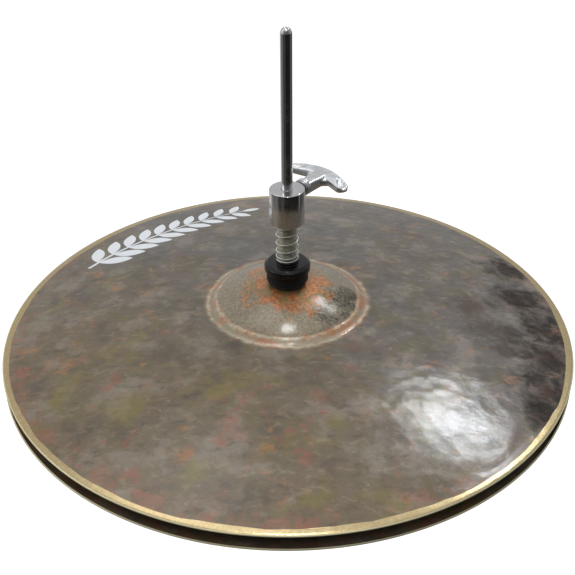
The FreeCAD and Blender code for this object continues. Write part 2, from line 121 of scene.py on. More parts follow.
def directions(path):
    """Unit vectors along a path of points."""
    ahead = np.gradient(path, axis=0)
    return ahead / np.linalg.norm(ahead, axis=1)[:, None]


def loft(rings, closed=True):
    """A skin through equal rings of points; a closed one joins its last ring to its first."""
    rings = np.asarray(rings, float)
    count, segments = rings.shape[:2]
    here = np.arange(count * segments).reshape(count, segments)
    above = np.roll(here, -1, 0)
    faces = np.stack([here, np.roll(here, -1, 1), np.roll(above, -1, 1), above], -1)
    if not closed:
        faces = faces[:-1]
    return rings.reshape(-1, 3), faces.reshape(-1, 4)


def capped(rings):
    """A skin through rings of points, with a flat face at each end."""
    points, faces = loft(rings, closed=False)
    size = len(rings[0])
    ends = [list(range(size))[::-1], list(range(len(points) - size, len(points)))]
    return points, [*faces.tolist(), *ends]


def spun(rows, segments):
    """A turned skin through (radius, height) rows, either of which may vary round the axis."""
    turn = angles(segments)
    rings = []
    for row in rows:
        radius, height = (np.broadcast_to(part, turn.shape) for part in row)
        rings.append(np.stack([radius * np.cos(turn), radius * np.sin(turn), height], -1))
    return loft(rings)


def rounded(corners, steps=4):
    """A closed outline whose corners (across, up, fillet) have become short arcs."""
    outline = []
    for number, corner in enumerate(corners):
        here = np.array(corner[:2], float)
        if len(corner) == 2:
            outline.append(here)
            continue
        back = np.array(corners[number - 1][:2]) - here
        ahead = np.array(corners[(number + 1) % len(corners)][:2]) - here
        lengths = np.linalg.norm(back), np.linalg.norm(ahead)
        back, ahead = back / lengths[0], ahead / lengths[1]
        half = math.acos(np.clip(back @ ahead, -1, 1)) / 2
        reach = min(corner[2] / math.tan(half), lengths[0] * 0.48, lengths[1] * 0.48)
        centre = here + (back + ahead) / np.linalg.norm(back + ahead) * reach / math.cos(half)
        arm, end = here + back * reach - centre, here + ahead * reach - centre
        arc = math.atan2(arm[0] * end[1] - arm[1] * end[0], arm @ end)
        outline += [centre + rotated(arm, arc * step / steps) for step in range(steps + 1)]
    return outline


def lathe(corners, segments=96):
    """A turned solid from the (radius, height, fillet) corners of its section."""
    return spun(rounded(corners), segments)


def cylinder(radius, start, end, segments):
    return lathe([(0, start), (radius, start), (radius, end), (0, end)], segments)


def thread_rows(radius, bottom, top, depth=0.4, pitch=1.0, segments=THREAD_SEGMENTS):
    """The (radius, height) rows of a screw thread that runs out smoothly at both ends."""
    rows_per_turn = 8
    turn = np.arange(segments) / segments
    rows = []
    for height in np.linspace(bottom, top, int((top - bottom) / pitch * rows_per_turn) + 1):
        phase = np.mod(height / pitch - turn, 1)
        groove = np.clip(1.25 - np.abs(phase - 0.5) * 3.2, 0, 1)  # flat root, sloping flanks, flat crest
        fade = min(1, (height - bottom) / pitch, (top - height) / pitch)
        rows.append((radius - depth * groove * max(fade, 0), height))
    return rows


def hexagon(corner, turn):
    """Distance from the axis to a hexagon's side in each direction."""
    return corner * math.cos(math.pi / 6) / np.cos(np.mod(turn, TAU / 6) - TAU / 12)


def hex_nut(corner, bore, bottom, top):
    """A nut with its corners turned down to a cone on both faces and a countersunk bore."""
    segments, sink, ease = 120, 0.6, 0.15
    side = hexagon(corner, angles(segments))
    blunt, face = side - 0.12, corner * 0.84
    drop = np.clip(side - face, 0, None) * math.tan(math.radians(30)) + 0.05
    return spun([
        (bore, bottom + sink), (bore + sink, bottom), (face, bottom), (blunt, bottom + drop),
        (side, bottom + drop + ease), (side, top - drop - ease), (blunt, top - drop), (face, top),
        (bore + sink, top), (bore, top - sink)], segments)


def sweep(line, exponent, segments=40):
    """A rounded bar along rows of (x, y, z, half width, half height), squarer with a larger exponent."""
    path, widths, heights = line[:, :3], line[:, 3], line[:, 4]
    ahead = directions(path)
    across, upward = (np.sign(part) * np.abs(part) ** (2 / exponent)
                      for part in (np.cos(angles(segments)), np.sin(angles(segments))))
    caps = [math.radians(angle) for angle in (90, 75, 60, 45, 30, 15)]
    rings = []

    def add(centre, direction, width, height):
        side = np.array([direction[1], -direction[0], 0])
        side /= np.linalg.norm(side)
        rings.append(centre + np.outer(across * width, side) + np.outer(upward * height, [0, 0, 1]))

    def add_cap(end, outward, turns):
        for angle in turns:
            add(path[end] + ahead[end] * widths[end] * math.sin(angle) * outward, ahead[end],
                widths[end] * math.cos(angle), heights[end] * math.cos(angle))

    add_cap(0, -1, caps)
    for station in zip(path, ahead, widths, heights):
        add(*station)
    add_cap(-1, 1, reversed(caps))
    return loft(rings, closed=False)


def curve_through(corners, count):
    """Evenly spread samples on a smooth curve near a few corner rows."""
    corners = np.asarray(corners, float)
    spot = np.linspace(0, len(corners) - 1, count)
    rough = np.stack([np.interp(spot, np.arange(len(corners)), column) for column in corners.T], -1)
    for _ in range(count // 2):
        rough[1:-1] = (rough[:-2] + rough[1:-1] * 2 + rough[2:]) / 4
    return rough


def moved(shape, matrix):
    full = np.array(matrix)
    return shape[0] @ full[:3, :3].T + full[:3, 3], shape[1]


def joined(*shapes):
    points, faces, start = [], [], 0
    for shape_points, shape_faces in shapes:
        points.append(shape_points)
        faces += [[int(index) + start for index in face] for face in shape_faces]
        start += len(shape_points)
    return np.concatenate(points), faces


ALONG_X = Matrix.Rotation(math.radians(90), 4, "Y")
ALONG_MINUS_Y = Matrix.Rotation(math.radians(90), 4, "X")


def at(x=0.0, z=0.0):
    return Matrix.Translation((x, 0.0, z))


# ---- meshes and pieces

def mesh_from(name, shape, merge=True):
    """A mesh in metres with outward faces, whose poles are merged unless separate parts would join."""
    points, faces = shape
    mesh = bpy.data.meshes.new(name)
    mesh.from_pydata((points * MM).tolist(), [], faces.tolist() if isinstance(faces, np.ndarray) else faces)
    soft = bmesh.new()
    soft.from_mesh(mesh)
    if merge:
        bmesh.ops.remove_doubles(soft, verts=soft.verts, dist=2e-7)
    bmesh.ops.recalc_face_normals(soft, faces=soft.faces)
    if soft.calc_volume(signed=True) < 0:
        bmesh.ops.reverse_faces(soft, faces=soft.faces)
    soft.to_mesh(mesh)
    soft.free()
    return mesh


def object_from(name, data):
    made = bpy.data.objects.new(name, data)
    bpy.context.scene.collection.objects.link(made)
    return made


def solid(name, shape):
    return object_from(name, mesh_from(name, shape))


def settle(made):
    """Apply an object's modifiers, so that its final shape is in its own mesh."""
    graph = bpy.context.evaluated_depsgraph_get()
    final = bpy.data.meshes.new_from_object(made.evaluated_get(graph))
    made.modifiers.clear()
    made.data = final
    return made


def modify(made, kind, **settings):
    modifier = made.modifiers.new(kind.lower(), kind)
    for key, value in settings.items():
        setattr(modifier, key, value)


def combine(base, tool, operation):
    """Cut a tool from a base object, or fuse it on, and drop the tool."""
    modify(base, "BOOLEAN", operation=operation, solver="EXACT", object=tool)
    settle(base)
    bpy.data.objects.remove(tool)
    return base


def cut(base, shape):
    return combine(base, solid("tool", shape), "DIFFERENCE")


def melt(made, voxel):
    """Turn overlapping solids into one casting with soft inside and outside corners."""
    modify(made, "REMESH", mode="VOXEL", voxel_size=voxel * MM, adaptivity=0.0)
    modify(made, "SMOOTH", factor=0.5, iterations=5)
    return settle(made)


def roughen(mesh, amount, size, seed=0.0):
    """Push each vertex along its normal by smooth noise."""
    for vertex in mesh.vertices:
        spot = vertex.co / (size * MM)
        vertex.co += vertex.normal * perlin(spot + Vector((seed, 0, 0))) * amount * MM


def extra(name, source, like, slot, sharp=35):
    """Show a shape or an object as a piece on the same body as a CAD node."""
    made = solid(name, source) if isinstance(source, tuple) else source
    made.name = name
    mesh = made.data
    mesh.polygons.foreach_set("use_smooth", np.ones(len(mesh.polygons), bool))
    mesh.set_sharp_from_angle(angle=math.radians(sharp))
    mesh.materials.clear()
    mesh.materials.append(material_for(slot))
    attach(made, frame["nodes"][like]["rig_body"])
    return made


def finished(node, source, slot, sharp=35):
    """Show a shape or an object in place of a CAD node, riding on that node's body."""
    made = extra(f"finished_{node}", source, node, slot, sharp)
    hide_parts(node)
    return made


def plain_ring(node, bore, edge, slot, segments=96):
    """A flat ring with eased edges, for a node on the main axis."""
    low, top, radius = sizes(node)
    finished(node, lathe([(bore, low, edge), (radius, low, edge), (radius, top, edge), (bore, top, edge)],
                         segments), slot)


# ---- materials

def colour(value):
    """Linear colour of a hexadecimal sRGB code or of a linear grey; anything else is passed on."""
    if isinstance(value, float):
        return (value, value, value, 1.0)
    if not isinstance(value, str):
        return value
    parts = [int(value[start:start + 2], 16) / 255 for start in (0, 2, 4)]
    return (*[p / 12.92 if p <= 0.04045 else ((p + 0.055) / 1.055) ** 2.4 for p in parts], 1.0)


class Nodes:
    """Short ways to add shader nodes to one tree."""

    def __init__(self, tree):
        self.tree = tree
        tree.nodes.clear()

    def add(self, kind, inputs=None, **settings):
        made = self.tree.nodes.new(kind)
        for key, value in settings.items():
            setattr(made, key, value)
        for key, value in (inputs or {}).items():
            if isinstance(value, bpy.types.NodeSocket):
                self.tree.links.new(value, made.inputs[key])
            else:
                made.inputs[key].default_value = value
        return made

    def math(self, operation, first, second, clamp=False):
        inputs = {0: first, 1: second}
        return self.add("ShaderNodeMath", inputs, operation=operation, use_clamp=clamp).outputs[0]

    def times(self, product, *factors):
        for factor in factors:
            product = self.math("MULTIPLY", product, factor)
        return product

    def plus(self, total, *parts):
        for part in parts:
            total = self.math("ADD", total, part)
        return total

    def outside(self, mask):
        """One where a mask is zero, and zero where it is one."""
        return self.math("SUBTRACT", 1.0, mask, clamp=True)

    def vector(self, operation, first, second=(0.0, 0.0, 0.0), output="Vector"):
        inputs = {0: first, 1: second}
        return self.add("ShaderNodeVectorMath", inputs, operation=operation).outputs[output]

    def measure(self, *terms):
        """One number from vectors: a length, a distance or a dot product."""
        return self.vector(*terms, output="Value")

    def stretched(self, *factors):
        return self.vector("MULTIPLY", self.place, factors)

    def parts(self, vector):
        """The x, y and z of a vector."""
        return self.add("ShaderNodeSeparateXYZ", {0: vector}).outputs

    @functools.cached_property
    def place(self):
        """Place on the piece in millimetres."""
        return self.vector("MULTIPLY", self.add("ShaderNodeTexCoord").outputs["Object"], (1 / MM,) * 3)

    def noise(self, scale, detail=3.0, roughness=0.55, distortion=0.0, place=None):
        place = self.place if place is None else place
        return self.add("ShaderNodeTexNoise", {"Vector": place, "Scale": scale, "Detail": detail,
                        "Roughness": roughness, "Distortion": distortion}).outputs["Fac"]

    def band(self, value, start, end, low=0.0, high=1.0):
        """Smooth step from low to high as a value goes from start to end."""
        return self.add("ShaderNodeMapRange", {"Value": value, "From Min": start, "From Max": end,
                        "To Min": low, "To Max": high}, interpolation_type="SMOOTHSTEP").outputs["Result"]

    def mix(self, share, first, second):
        inputs = {0: share, 6: colour(first), 7: colour(second)}
        return self.add("ShaderNodeMix", inputs, data_type="RGBA").outputs[2]

    def layered(self, base, *layers):
        """A base colour under layers, each given as factors of how much of it shows, then its colour."""
        for *shares, tone in layers:
            base = self.mix(self.times(*shares), base, tone)
        return base

    def bump(self, height, distance, strength, normal=None):
        inputs = {"Height": height, "Distance": distance * MM, "Strength": strength}
        if normal is not None:
            inputs["Normal"] = normal
        return self.add("ShaderNodeBump", inputs).outputs["Normal"]

    def surface(self, **inputs):
        names = {key.replace("_", " "): value for key, value in inputs.items()}
        shader = self.add("ShaderNodeBsdfPrincipled", names)
        self.add("ShaderNodeOutputMaterial", {"Surface": shader.outputs[0]})


recipes = {}


def recipe(function):
    recipes[function.__name__] = function
    return function


@functools.cache
def material_for(slot):
    material = bpy.data.materials.new(f"{slot}_look")
    material.use_nodes = True
    recipes[slot](Nodes(material.node_tree))
    return material


def plated(nodes, tint, roughness, ripple, ripple_size, turned):
    """Plate with a faint ripple, wiping smears and a few fine scratches."""
    smears = nodes.noise(0.12, 4, 0.6, 0.6)
    scratches = nodes.noise(1.6, 5, 0.7, place=nodes.stretched(4.0, 4.0, 0.35))
    rough = nodes.plus(nodes.band(smears, 0.35, 0.75, roughness * 0.7, roughness * 1.6),
                       nodes.band(scratches, 0.6, 0.8, 0.0, 0.05))
    waves = nodes.bump(nodes.noise(1 / ripple_size, 2), ripple, 0.5)
    shadow = nodes.mix(nodes.band(smears, 0.4, 0.7), tint, "c9c9cc")
    around = nodes.add("ShaderNodeTangent", direction_type="RADIAL", axis="Z").outputs[0]
    nodes.surface(Base_Color=nodes.mix(0.6, shadow, tint), Metallic=1.0, Roughness=rough,
                  Normal=nodes.bump(scratches, 0.004, 0.35, waves), Anisotropic=turned,
                  Anisotropic_Rotation=0.25, Tangent=around)


@recipe
def chrome(nodes):
    """Plate over turned metal, whose rings spread a reflection up and down the axis."""
    plated(nodes, "e2e2e4", 0.14, 0.01, 9.0, 0.75)


@recipe
def cast_chrome(nodes):
    """Satin plate over a casting, with cloudy patches and small dents."""
    plated(nodes, "e8eaec", 0.34, 0.26, 2.0, 0.0)


@recipe
def steel(nodes):
    """Zinc plate with a brushed grain and cloudy patches."""
    clouds = nodes.noise(0.35, 4, 0.6)
    grain = nodes.noise(1.0, 3, place=nodes.stretched(9.0, 9.0, 0.8))
    nodes.surface(Base_Color=nodes.mix(clouds, "9c9ea1", "c6c7c8"), Metallic=1.0,
                  Roughness=nodes.band(grain, 0.3, 0.7, 0.28, 0.45), Normal=nodes.bump(grain, 0.01, 0.4))


@recipe
def thread_steel(nodes):
    """Nickel-plated thread, a little yellow, darker in the grooves and paler on the crests, with blotches of
    tone.
    """
    x, y, _ = nodes.parts(nodes.place)
    from_axis = nodes.math("SQRT", nodes.plus(nodes.math("POWER", x, 2.0), nodes.math("POWER", y, 2.0)), 0.0)
    outer = radius_of("clutch_tube")
    # Paler on the crests than in the grooves.
    crest = nodes.band(from_axis, outer - 0.28, outer - 0.04)
    blotches = nodes.noise(0.8, 3)
    nodes.surface(Base_Color=nodes.mix(crest, nodes.mix(blotches, "6b6555", "8a8371"), "cfc9b6"), Metallic=0.8,
                  Roughness=nodes.band(blotches, 0.3, 0.7, 0.3, 0.45))


@recipe
def spring_wire(nodes):
    """Bright plated wire, dulled in places."""
    wear = nodes.noise(1.3, 3)
    nodes.surface(Base_Color=nodes.mix(nodes.band(wear, 0.45, 0.7), "f2f8f3", "cfd9cf"), Metallic=0.75,
                  Roughness=nodes.band(wear, 0.3, 0.7, 0.3, 0.45),
                  Normal=nodes.bump(nodes.noise(6.0, 2), 0.006, 0.4))


@recipe
def black_plastic(nodes):
    """Moulded black with a fine pebble and paler scuffs."""
    pebble = nodes.noise(3.2, 3, 0.5)
    scuffs = nodes.noise(0.5, 5, 0.7, 0.8, place=nodes.stretched(1.0, 1.0, 3.0))
    nodes.surface(Base_Color=nodes.mix(nodes.band(scuffs, 0.55, 0.8), "050506", "121214"),
                  Roughness=nodes.band(scuffs, 0.35, 0.75, 0.1, 0.22), Normal=nodes.bump(pebble, 0.012, 0.4))


def felt(nodes, dark, light):
    """Pressed wool: matted fibres in two directions with a little sheen."""
    along = nodes.noise(1.6, 5, 0.7, 1.5, place=nodes.stretched(1.0, 1.0, 5.0))
    over = nodes.noise(1.9, 5, 0.7, 1.2, place=nodes.stretched(3.0, 3.0, 0.8))
    fibres = nodes.math("MAXIMUM", along, over)
    patches = nodes.noise(0.25, 3)
    tone = nodes.mix(nodes.band(fibres, 0.45, 0.8), dark, light)
    tone = nodes.mix(nodes.band(patches, 0.3, 0.7, 0.0, 0.35), tone, dark)
    nodes.surface(Base_Color=tone, Roughness=0.95, Sheen_Weight=0.12, Sheen_Roughness=0.5,
                  Normal=nodes.bump(fibres, 0.18, 0.8))


@recipe
def black_felt(nodes):
    felt(nodes, "050506", "161618")


@recipe
def grey_felt(nodes):
    felt(nodes, "5d5b57", "a19e98")


@recipe
def nylon(nodes):
    cloud = nodes.noise(0.5, 3)
    nodes.surface(Base_Color=nodes.mix(cloud, "cfccc0", "e2dfd4"), Roughness=0.45, Subsurface_Weight=0.15,
                  Subsurface_Scale=0.002, Normal=nodes.bump(nodes.noise(4.0, 2), 0.01, 0.4))


@recipe
def ink(nodes):
    """Screen-printed white ink, greyed in the spots where it has worn."""
    wear = nodes.noise(0.9, 5, 0.75)
    nodes.surface(Base_Color=nodes.mix(nodes.band(wear, 0.66, 0.8), "f3f7fb", "b9b9b4"), Roughness=0.55,
                  Normal=nodes.bump(wear, 0.01, 0.4))


@recipe
def floor(nodes):
    """Near-white paper that glows a little, so that it stays as pale as the studio round it."""
    tone = nodes.mix(nodes.noise(0.002, 2), "f7f7f7", "fbfbfb")
    nodes.surface(Base_Color=tone, Roughness=0.9, Emission_Color=tone, Emission_Strength=0.75)


# Round spots on the top cymbal, as (x, y, radius), and the two bright lines at the bell's foot.
DARK_STAINS = [(152, 59, 20), (154, 17, 26), (162, -15, 27), (158, -45, 27), (150, -72, 24), (144, -92, 17)]
BROWN_STAINS = [(122, -20, 18), (130, -38, 15), (116, 2, 15)]
BELL_SOOT = [(33, -14, 17), (24, -28, 11), (39, -4, 11)]
FOOT_LINES = (44.9, 49.9)
FOOT_LINE_HALF = 1.9
RIM = radius_of("top_cymbal")


@recipe
def bronze(nodes):
    """Raw bell bronze: olive and violet-grey patina, heat tints, stains, and a bright strip at the rim, with
    a painted highlight along the lip and painted glints on the bell.
    """
    mix, band, noise, layered, bump = nodes.mix, nodes.band, nodes.noise, nodes.layered, nodes.bump
    times, plus = nodes.times, nodes.plus
    flat = nodes.stretched(1.0, 1.0, 0.0)
    from_axis = nodes.measure("LENGTH", flat)
    clouds = noise(0.02, 5, 0.6, 0.4)
    mottle = noise(0.09, 6, 0.68, 0.5)
    streaks = noise(0.2, 5, 0.68, 0.6, place=nodes.stretched(0.55, 1.0, 1.0))
    grain = noise(0.55, 5, 0.7)
    fine = noise(2.2, 3, 0.6)

    def moved_noise(x, y, scale, detail=4.0):
        return noise(scale, detail, 0.6, place=nodes.vector("ADD", nodes.place, (x, y, 0.0)))

    def near(spots):
        """One inside any of the round spots, fading to zero at their mottled edges."""
        inside = 0.0
        for x, y, reach in spots:
            away = nodes.measure("DISTANCE", flat, (x, y, 0.0))
            away = plus(away, band(mottle, 0.3, 0.7, -0.35 * reach, 0.35 * reach))
            inside = nodes.math("MAXIMUM", inside, band(away, 1.15 * reach, 0.15 * reach))
        return inside

    # The bow, from its ground colour up.
    toward_front_left = nodes.measure("DOT_PRODUCT", nodes.place, (-0.6, -0.8, 0.0))
    warm = band(toward_front_left, -30.0, 110.0, 0.12, 1.0)
    patches = moved_noise(150.0, 90.0, 0.045, 5.0)
    olive = times(band(moved_noise(-90.0, 200.0, 0.03), 0.52, 0.66), warm)
    red = times(band(moved_noise(310.0, 40.0, 0.042), 0.55, 0.68), band(mottle, 0.42, 0.6), warm)
    amber = times(band(moved_noise(20.0, -270.0, 0.05), 0.56, 0.68), band(streaks, 0.44, 0.6))
    dark = times(near(DARK_STAINS), band(streaks, 0.3, 0.7, 1.0, 0.8))
    by_rim = times(band(from_axis, 160.0, 171.0), warm, band(mottle, 0.44, 0.6))
    tone = layered(
        mix(band(mottle, 0.4, 0.6), "69624b", "6c6161"),
        (band(clouds, 0.42, 0.62, 0.0, 0.8), "646462"),
        (warm, 0.6, "84704b"),
        (band(patches, 0.5, 0.66, 0.0, 0.45), "a3988a"),
        (band(patches, 0.48, 0.34, 0.0, 0.5), "4f463b"),
        (band(streaks, 0.52, 0.72, 0.0, 0.45), "ada08d"),
        (band(streaks, 0.48, 0.3, 0.0, 0.55), "4b4136"),
        (band(grain, 0.5, 0.28, 0.0, 0.3), "554b3d"),
        (olive, 0.46, "8d8032"),
        (red, 0.5, "b05a44"),
        (amber, 0.5, "b9783a"),
        (near(BROWN_STAINS), 0.85, "44301f"),
        (dark, 0.97, mix(band(mottle, 0.42, 0.6), "1e1614", "40291b")),
        (by_rim, 0.4, "ad6a4a"))

    # The bell: soot on one side, an orange glow round the felt, and pale specks that are painted glints.
    soot = times(near(BELL_SOOT), band(grain, 0.36, 0.6, 1.0, 0.5))
    heat_edge = plus(from_axis, band(mottle, 0.3, 0.7, -8.0, 8.0),
                     band(toward_front_left, -30.0, 20.0, 5.0, 0.0))
    heat = times(band(heat_edge, 33.0, 21.0), band(grain, 0.32, 0.56, 0.3, 1.0))
    glow = layered(
        mix(band(grain, 0.42, 0.6), "bd5a1d", "e8933f"),
        (band(moved_noise(60.0, 10.0, 0.16), 0.46, 0.6), "a08446"),
        (band(fine, 0.44, 0.34, 0.0, 0.7), "4c3a22"))
    bell = layered(
        mix(band(grain, 0.35, 0.65), "7b705b", "a4967d"),
        # Pale specks in the colour are painted glints on the hammered bell.
        (band(fine, 0.54, 0.68, 0.0, 0.65), "d8ccba"),
        (soot, 0.95, "261f1a"),
        (heat, 0.85, glow))
    tone = mix(band(from_axis, 50.0, 46.0), tone, bell)

    # The bell's foot: a paler zone between two bright lines.
    wobble = plus(from_axis, band(mottle, 0.3, 0.7, -0.8, 0.8))
    foot_zone = times(band(wobble, 43.0, 44.6), band(wobble, 53.5, 49.5), 0.7)
    tone = mix(foot_zone, tone, mix(band(mottle, 0.44, 0.56), "aca086", "bb7c4e"))
    for line in FOOT_LINES:
        drawn = times(band(wobble, line - FOOT_LINE_HALF, line), band(wobble, line + FOOT_LINE_HALF, line),
                      band(streaks, 0.34, 0.66, 0.05, 0.8), band(grain, 0.3, 0.5))
        tone = mix(drawn, tone, "e0d0b4")

    # The turned strip, on the outer face only, and the lip at the very edge: real turned brass whose
    # near-white colour is a painted highlight along the edge.
    _, toward_back, level = nodes.parts(nodes.place)
    strip_edge = plus(from_axis, band(noise(0.03, 2), 0.3, 0.7, -0.5, 0.5),
                      band(toward_back, -120.0, 160.0, -0.5, 2.2))
    facing_up = nodes.parts(nodes.add("ShaderNodeTexCoord").outputs["Normal"])[2]
    gap = (bottom_of("top_cymbal") + top_of("bottom_cymbal")) / 2
    inward = times(facing_up, band(level, gap - 1, gap + 1, 1.0, -1.0))
    strip = times(band(strip_edge, 173.2, 173.6), band(inward, 0.2, 0.4, 1.0, 0.0))
    lip = band(from_axis, RIM - 0.8, RIM - 0.5)
    strip = nodes.math("MAXIMUM", strip, lip)
    lathe_lines = noise(2.5, 3, place=nodes.add("ShaderNodeCombineXYZ", {0: from_axis}).outputs[0])
    brass = mix(band(grain, 0.3, 0.7), "c9b283", "d9c79c")
    # The lip's near-white colour is a painted highlight along the rim's edge.
    tone = layered(tone, (strip, brass), (lip, "efe6bd"))

    on_bell = band(from_axis, 51.0, 46.0)
    rough = plus(band(grain, 0.3, 0.7, 0.54, 0.66), band(fine, 0.35, 0.7, -0.04, 0.06))
    rough = nodes.math("SUBTRACT", rough, times(on_bell, 0.1))
    rough = layered(rough, (strip, 0.24), (lip, 0.4))
    unturned = nodes.outside(strip)
    bumped = bump(times(grain, unturned), 0.16, 0.5)
    bumped = bump(times(fine, unturned), 0.02, 0.5, bumped)
    bumped = bump(times(lathe_lines, strip), 0.08, 0.5, bumped)
    metal = layered(mix(strip, 0.45, 1.0), (lip, 0.45))
    shine = times(nodes.outside(nodes.math("MAXIMUM", strip, dark)),
                  nodes.math("SUBTRACT", 0.7, times(on_bell, 0.1)), nodes.outside(soot))
    nodes.surface(Base_Color=tone, Metallic=metal, Roughness=rough, Normal=bumped,
                  Coat_Weight=shine, Coat_Roughness=band(grain, 0.3, 0.7, 0.1, 0.2), Coat_IOR=1.7,
                  Coat_Normal=bump(plus(grain, streaks), 0.1, 0.6))


# ---- cymbals

BRONZE_SEED = {"top_cymbal": 11, "bottom_cymbal": 23}
SHEET = 1.2
BELL_FOOT = 49.2
CROWN = 12.5
HOLE = 6.25
RISE = top_of("top_cymbal") - bottom_of("top_cymbal") - SHEET
BOW_RISE = 18.4
BOW_ARC = 650
BELL_ARC = 85
FOOT_GROOVES = (44.2, 50.2)
CYMBAL_SEGMENTS = 720
OUTER_ROWS = np.concatenate([
    np.arange(HOLE + 0.35, 42, 1.3), np.arange(42, 53, 0.45), np.arange(53, 171, 1.45),
    np.arange(171, RIM - 0.5, 0.7)])
INNER_ROWS = np.concatenate([np.arange(HOLE + 0.35, 60, 3.0), np.arange(60, RIM - 1.0, 2.4)])


def arc_height(radius, outer, inner, arc):
    """Height on a circular arc that bulges upward from its outer point to its inner one."""
    outer, inner = np.array(outer, float), np.array(inner, float)
    chord = outer - inner
    length = np.linalg.norm(chord)
    normal = np.array([-chord[1], chord[0]]) / length
    centre = (outer + inner) / 2 - normal * math.sqrt(arc * arc - length * length / 4)
    return centre[1] + np.sqrt(np.maximum(arc * arc - (radius - centre[0]) ** 2, 0))


def section_height(radius):
    """Inside height of the cymbal above its rim, with soft joins at the bell's foot and crown."""
    step, softness, reach = 0.2, 1.7, 30
    fine = np.arange(0, RIM + 12, step)
    inside = np.minimum(fine, RIM)
    bow = arc_height(inside, (RIM, 0), (BELL_FOOT, BOW_RISE), BOW_ARC)
    bell = arc_height(inside, (BELL_FOOT, BOW_RISE), (CROWN, RISE), BELL_ARC)
    height = np.where(fine > BELL_FOOT, bow, np.where(fine > CROWN, bell, RISE))
    kernel = np.exp(-(np.arange(-reach, reach + 1) * step / softness) ** 2 / 2)
    soft = np.convolve(np.pad(height, reach, "edge"), kernel / kernel.sum(), "valid")
    near = np.exp(-((fine - BELL_FOOT) / 6) ** 4) + np.exp(-((fine - CROWN) / 4) ** 4)
    height = height + (soft - height) * np.clip(near, 0, 1)
    for groove in FOOT_GROOVES:
        height -= 0.18 * np.exp(-((fine - groove) / 0.55) ** 2)
    return np.interp(radius, fine, height)


def hammer_marks(rng, start, end, spacing, size, depth):
    """Depth of rings of overlapping hammer blows over the sheet's outer grid."""
    step = TAU / CYMBAL_SEGMENTS
    marks = np.zeros((len(OUTER_ROWS), CYMBAL_SEGMENTS))
    for course in np.arange(start, end, spacing):
        count = int(TAU * course / spacing)
        for blow in range(count):
            across = course + rng.normal(0, spacing * 0.3)
            turn = TAU * (blow + rng.uniform(-0.4, 0.4)) / count
            reach = size * rng.uniform(0.75, 1.25)
            deep = depth * rng.uniform(0.5, 1.4)
            rows = np.nonzero(np.abs(OUTER_ROWS - across) < reach)[0]
            columns = np.arange(math.floor((turn - reach / across) / step),
                                math.ceil((turn + reach / across) / step) + 1)
            far = ((OUTER_ROWS[rows] - across)[:, None] ** 2
                   + ((columns * step - turn) * across)[None, :] ** 2) / reach ** 2
            cells = np.ix_(rows, columns % CYMBAL_SEGMENTS)
            marks[cells] = np.maximum(marks[cells], deep * np.clip(1 - far, 0, None))
    return marks


@functools.cache
def cymbal_relief(node):
    """How far the sheet is driven down by hammering, over its outer grid."""
    rng = np.random.default_rng(BRONZE_SEED[node])
    marks = hammer_marks(rng, 56, 176, 7.0, 6.6, 0.13)
    marks += hammer_marks(rng, 18, 48, 4.2, 3.8, 0.06)
    turn = angles(CYMBAL_SEGMENTS)
    x, y = OUTER_ROWS[:, None] * np.cos(turn), OUTER_ROWS[:, None] * np.sin(turn)
    swell = np.zeros_like(x)
    for _ in range(9):
        heading = rng.uniform(0, TAU)
        wave = TAU / rng.uniform(38, 90)
        swell += np.sin((x * math.cos(heading) + y * math.sin(heading)) * wave + rng.uniform(0, TAU))
    on_bow = np.clip((OUTER_ROWS - 54) / 10, 0, 1) * np.clip((RIM - OUTER_ROWS) / 8, 0, 1)
    marks += (swell * 0.028 + 0.1) * on_bow[:, None]
    rim_fade = np.clip((RIM - 1.5 - OUTER_ROWS) / 5, 0, 1) * 0.85 + 0.15
    hub_fade = np.clip((OUTER_ROWS - 9) / 8, 0, 1)
    return marks * (rim_fade * hub_fade)[:, None]


def cymbal_rows(node):
    """Rows round the whole sheet, bell up, with the inside of its rim at height zero."""
    relief = cymbal_relief(node)
    outer = zip(OUTER_ROWS, section_height(OUTER_ROWS)[:, None] + SHEET - relief)
    rows = np.searchsorted(OUTER_ROWS, INNER_ROWS).clip(0, len(OUTER_ROWS) - 1)
    inner = list(zip(INNER_ROWS, section_height(INNER_ROWS)[:, None] - relief[rows]))
    lip = [(RIM - 0.3, SHEET - 0.04), (RIM, SHEET - 0.35), (RIM, 0.65), (RIM - 0.25, 0.3), (RIM - 0.6, 0.0)]
    hub = [(HOLE + 0.05, RISE + 0.1), (HOLE, RISE + 0.3), (HOLE, RISE + SHEET - 0.3),
           (HOLE + 0.05, RISE + SHEET - 0.1)]
    return [*outer, *lip, *inner[::-1], *hub]


def fast_mesh(name, shape):
    """A large closed quad mesh in metres, turned the right way round by its volume."""
    points, faces = shape[0] * MM, shape[1]
    corner = points[faces]
    volume = sum(np.einsum("ij,ij->i", corner[:, 0], np.cross(corner[:, n], corner[:, n + 1])).sum()
                 for n in (1, 2))
    if volume < 0:
        faces = faces[:, ::-1]
    mesh = bpy.data.meshes.new(name)
    mesh.vertices.add(len(points))
    mesh.vertices.foreach_set("co", points.astype(np.float32).ravel())
    mesh.loops.add(faces.size)
    mesh.loops.foreach_set("vertex_index", faces.astype(np.int32).ravel())
    mesh.polygons.add(len(faces))
    mesh.polygons.foreach_set("loop_start", np.arange(0, faces.size, 4, dtype=np.int32))
    mesh.update(calc_edges=True)
    mesh.validate()
    return mesh


def build_cymbals():
    for node, upward in (("top_cymbal", 1), ("bottom_cymbal", -1)):
        points, faces = spun(cymbal_rows(node), CYMBAL_SEGMENTS)
        rim_level = bottom_of(node) if upward > 0 else top_of(node)
        points = points * [1, 1, upward] + [0, 0, rim_level]
        finished(node, object_from(node, fast_mesh(node, (points, faces))), "bronze", sharp=50)


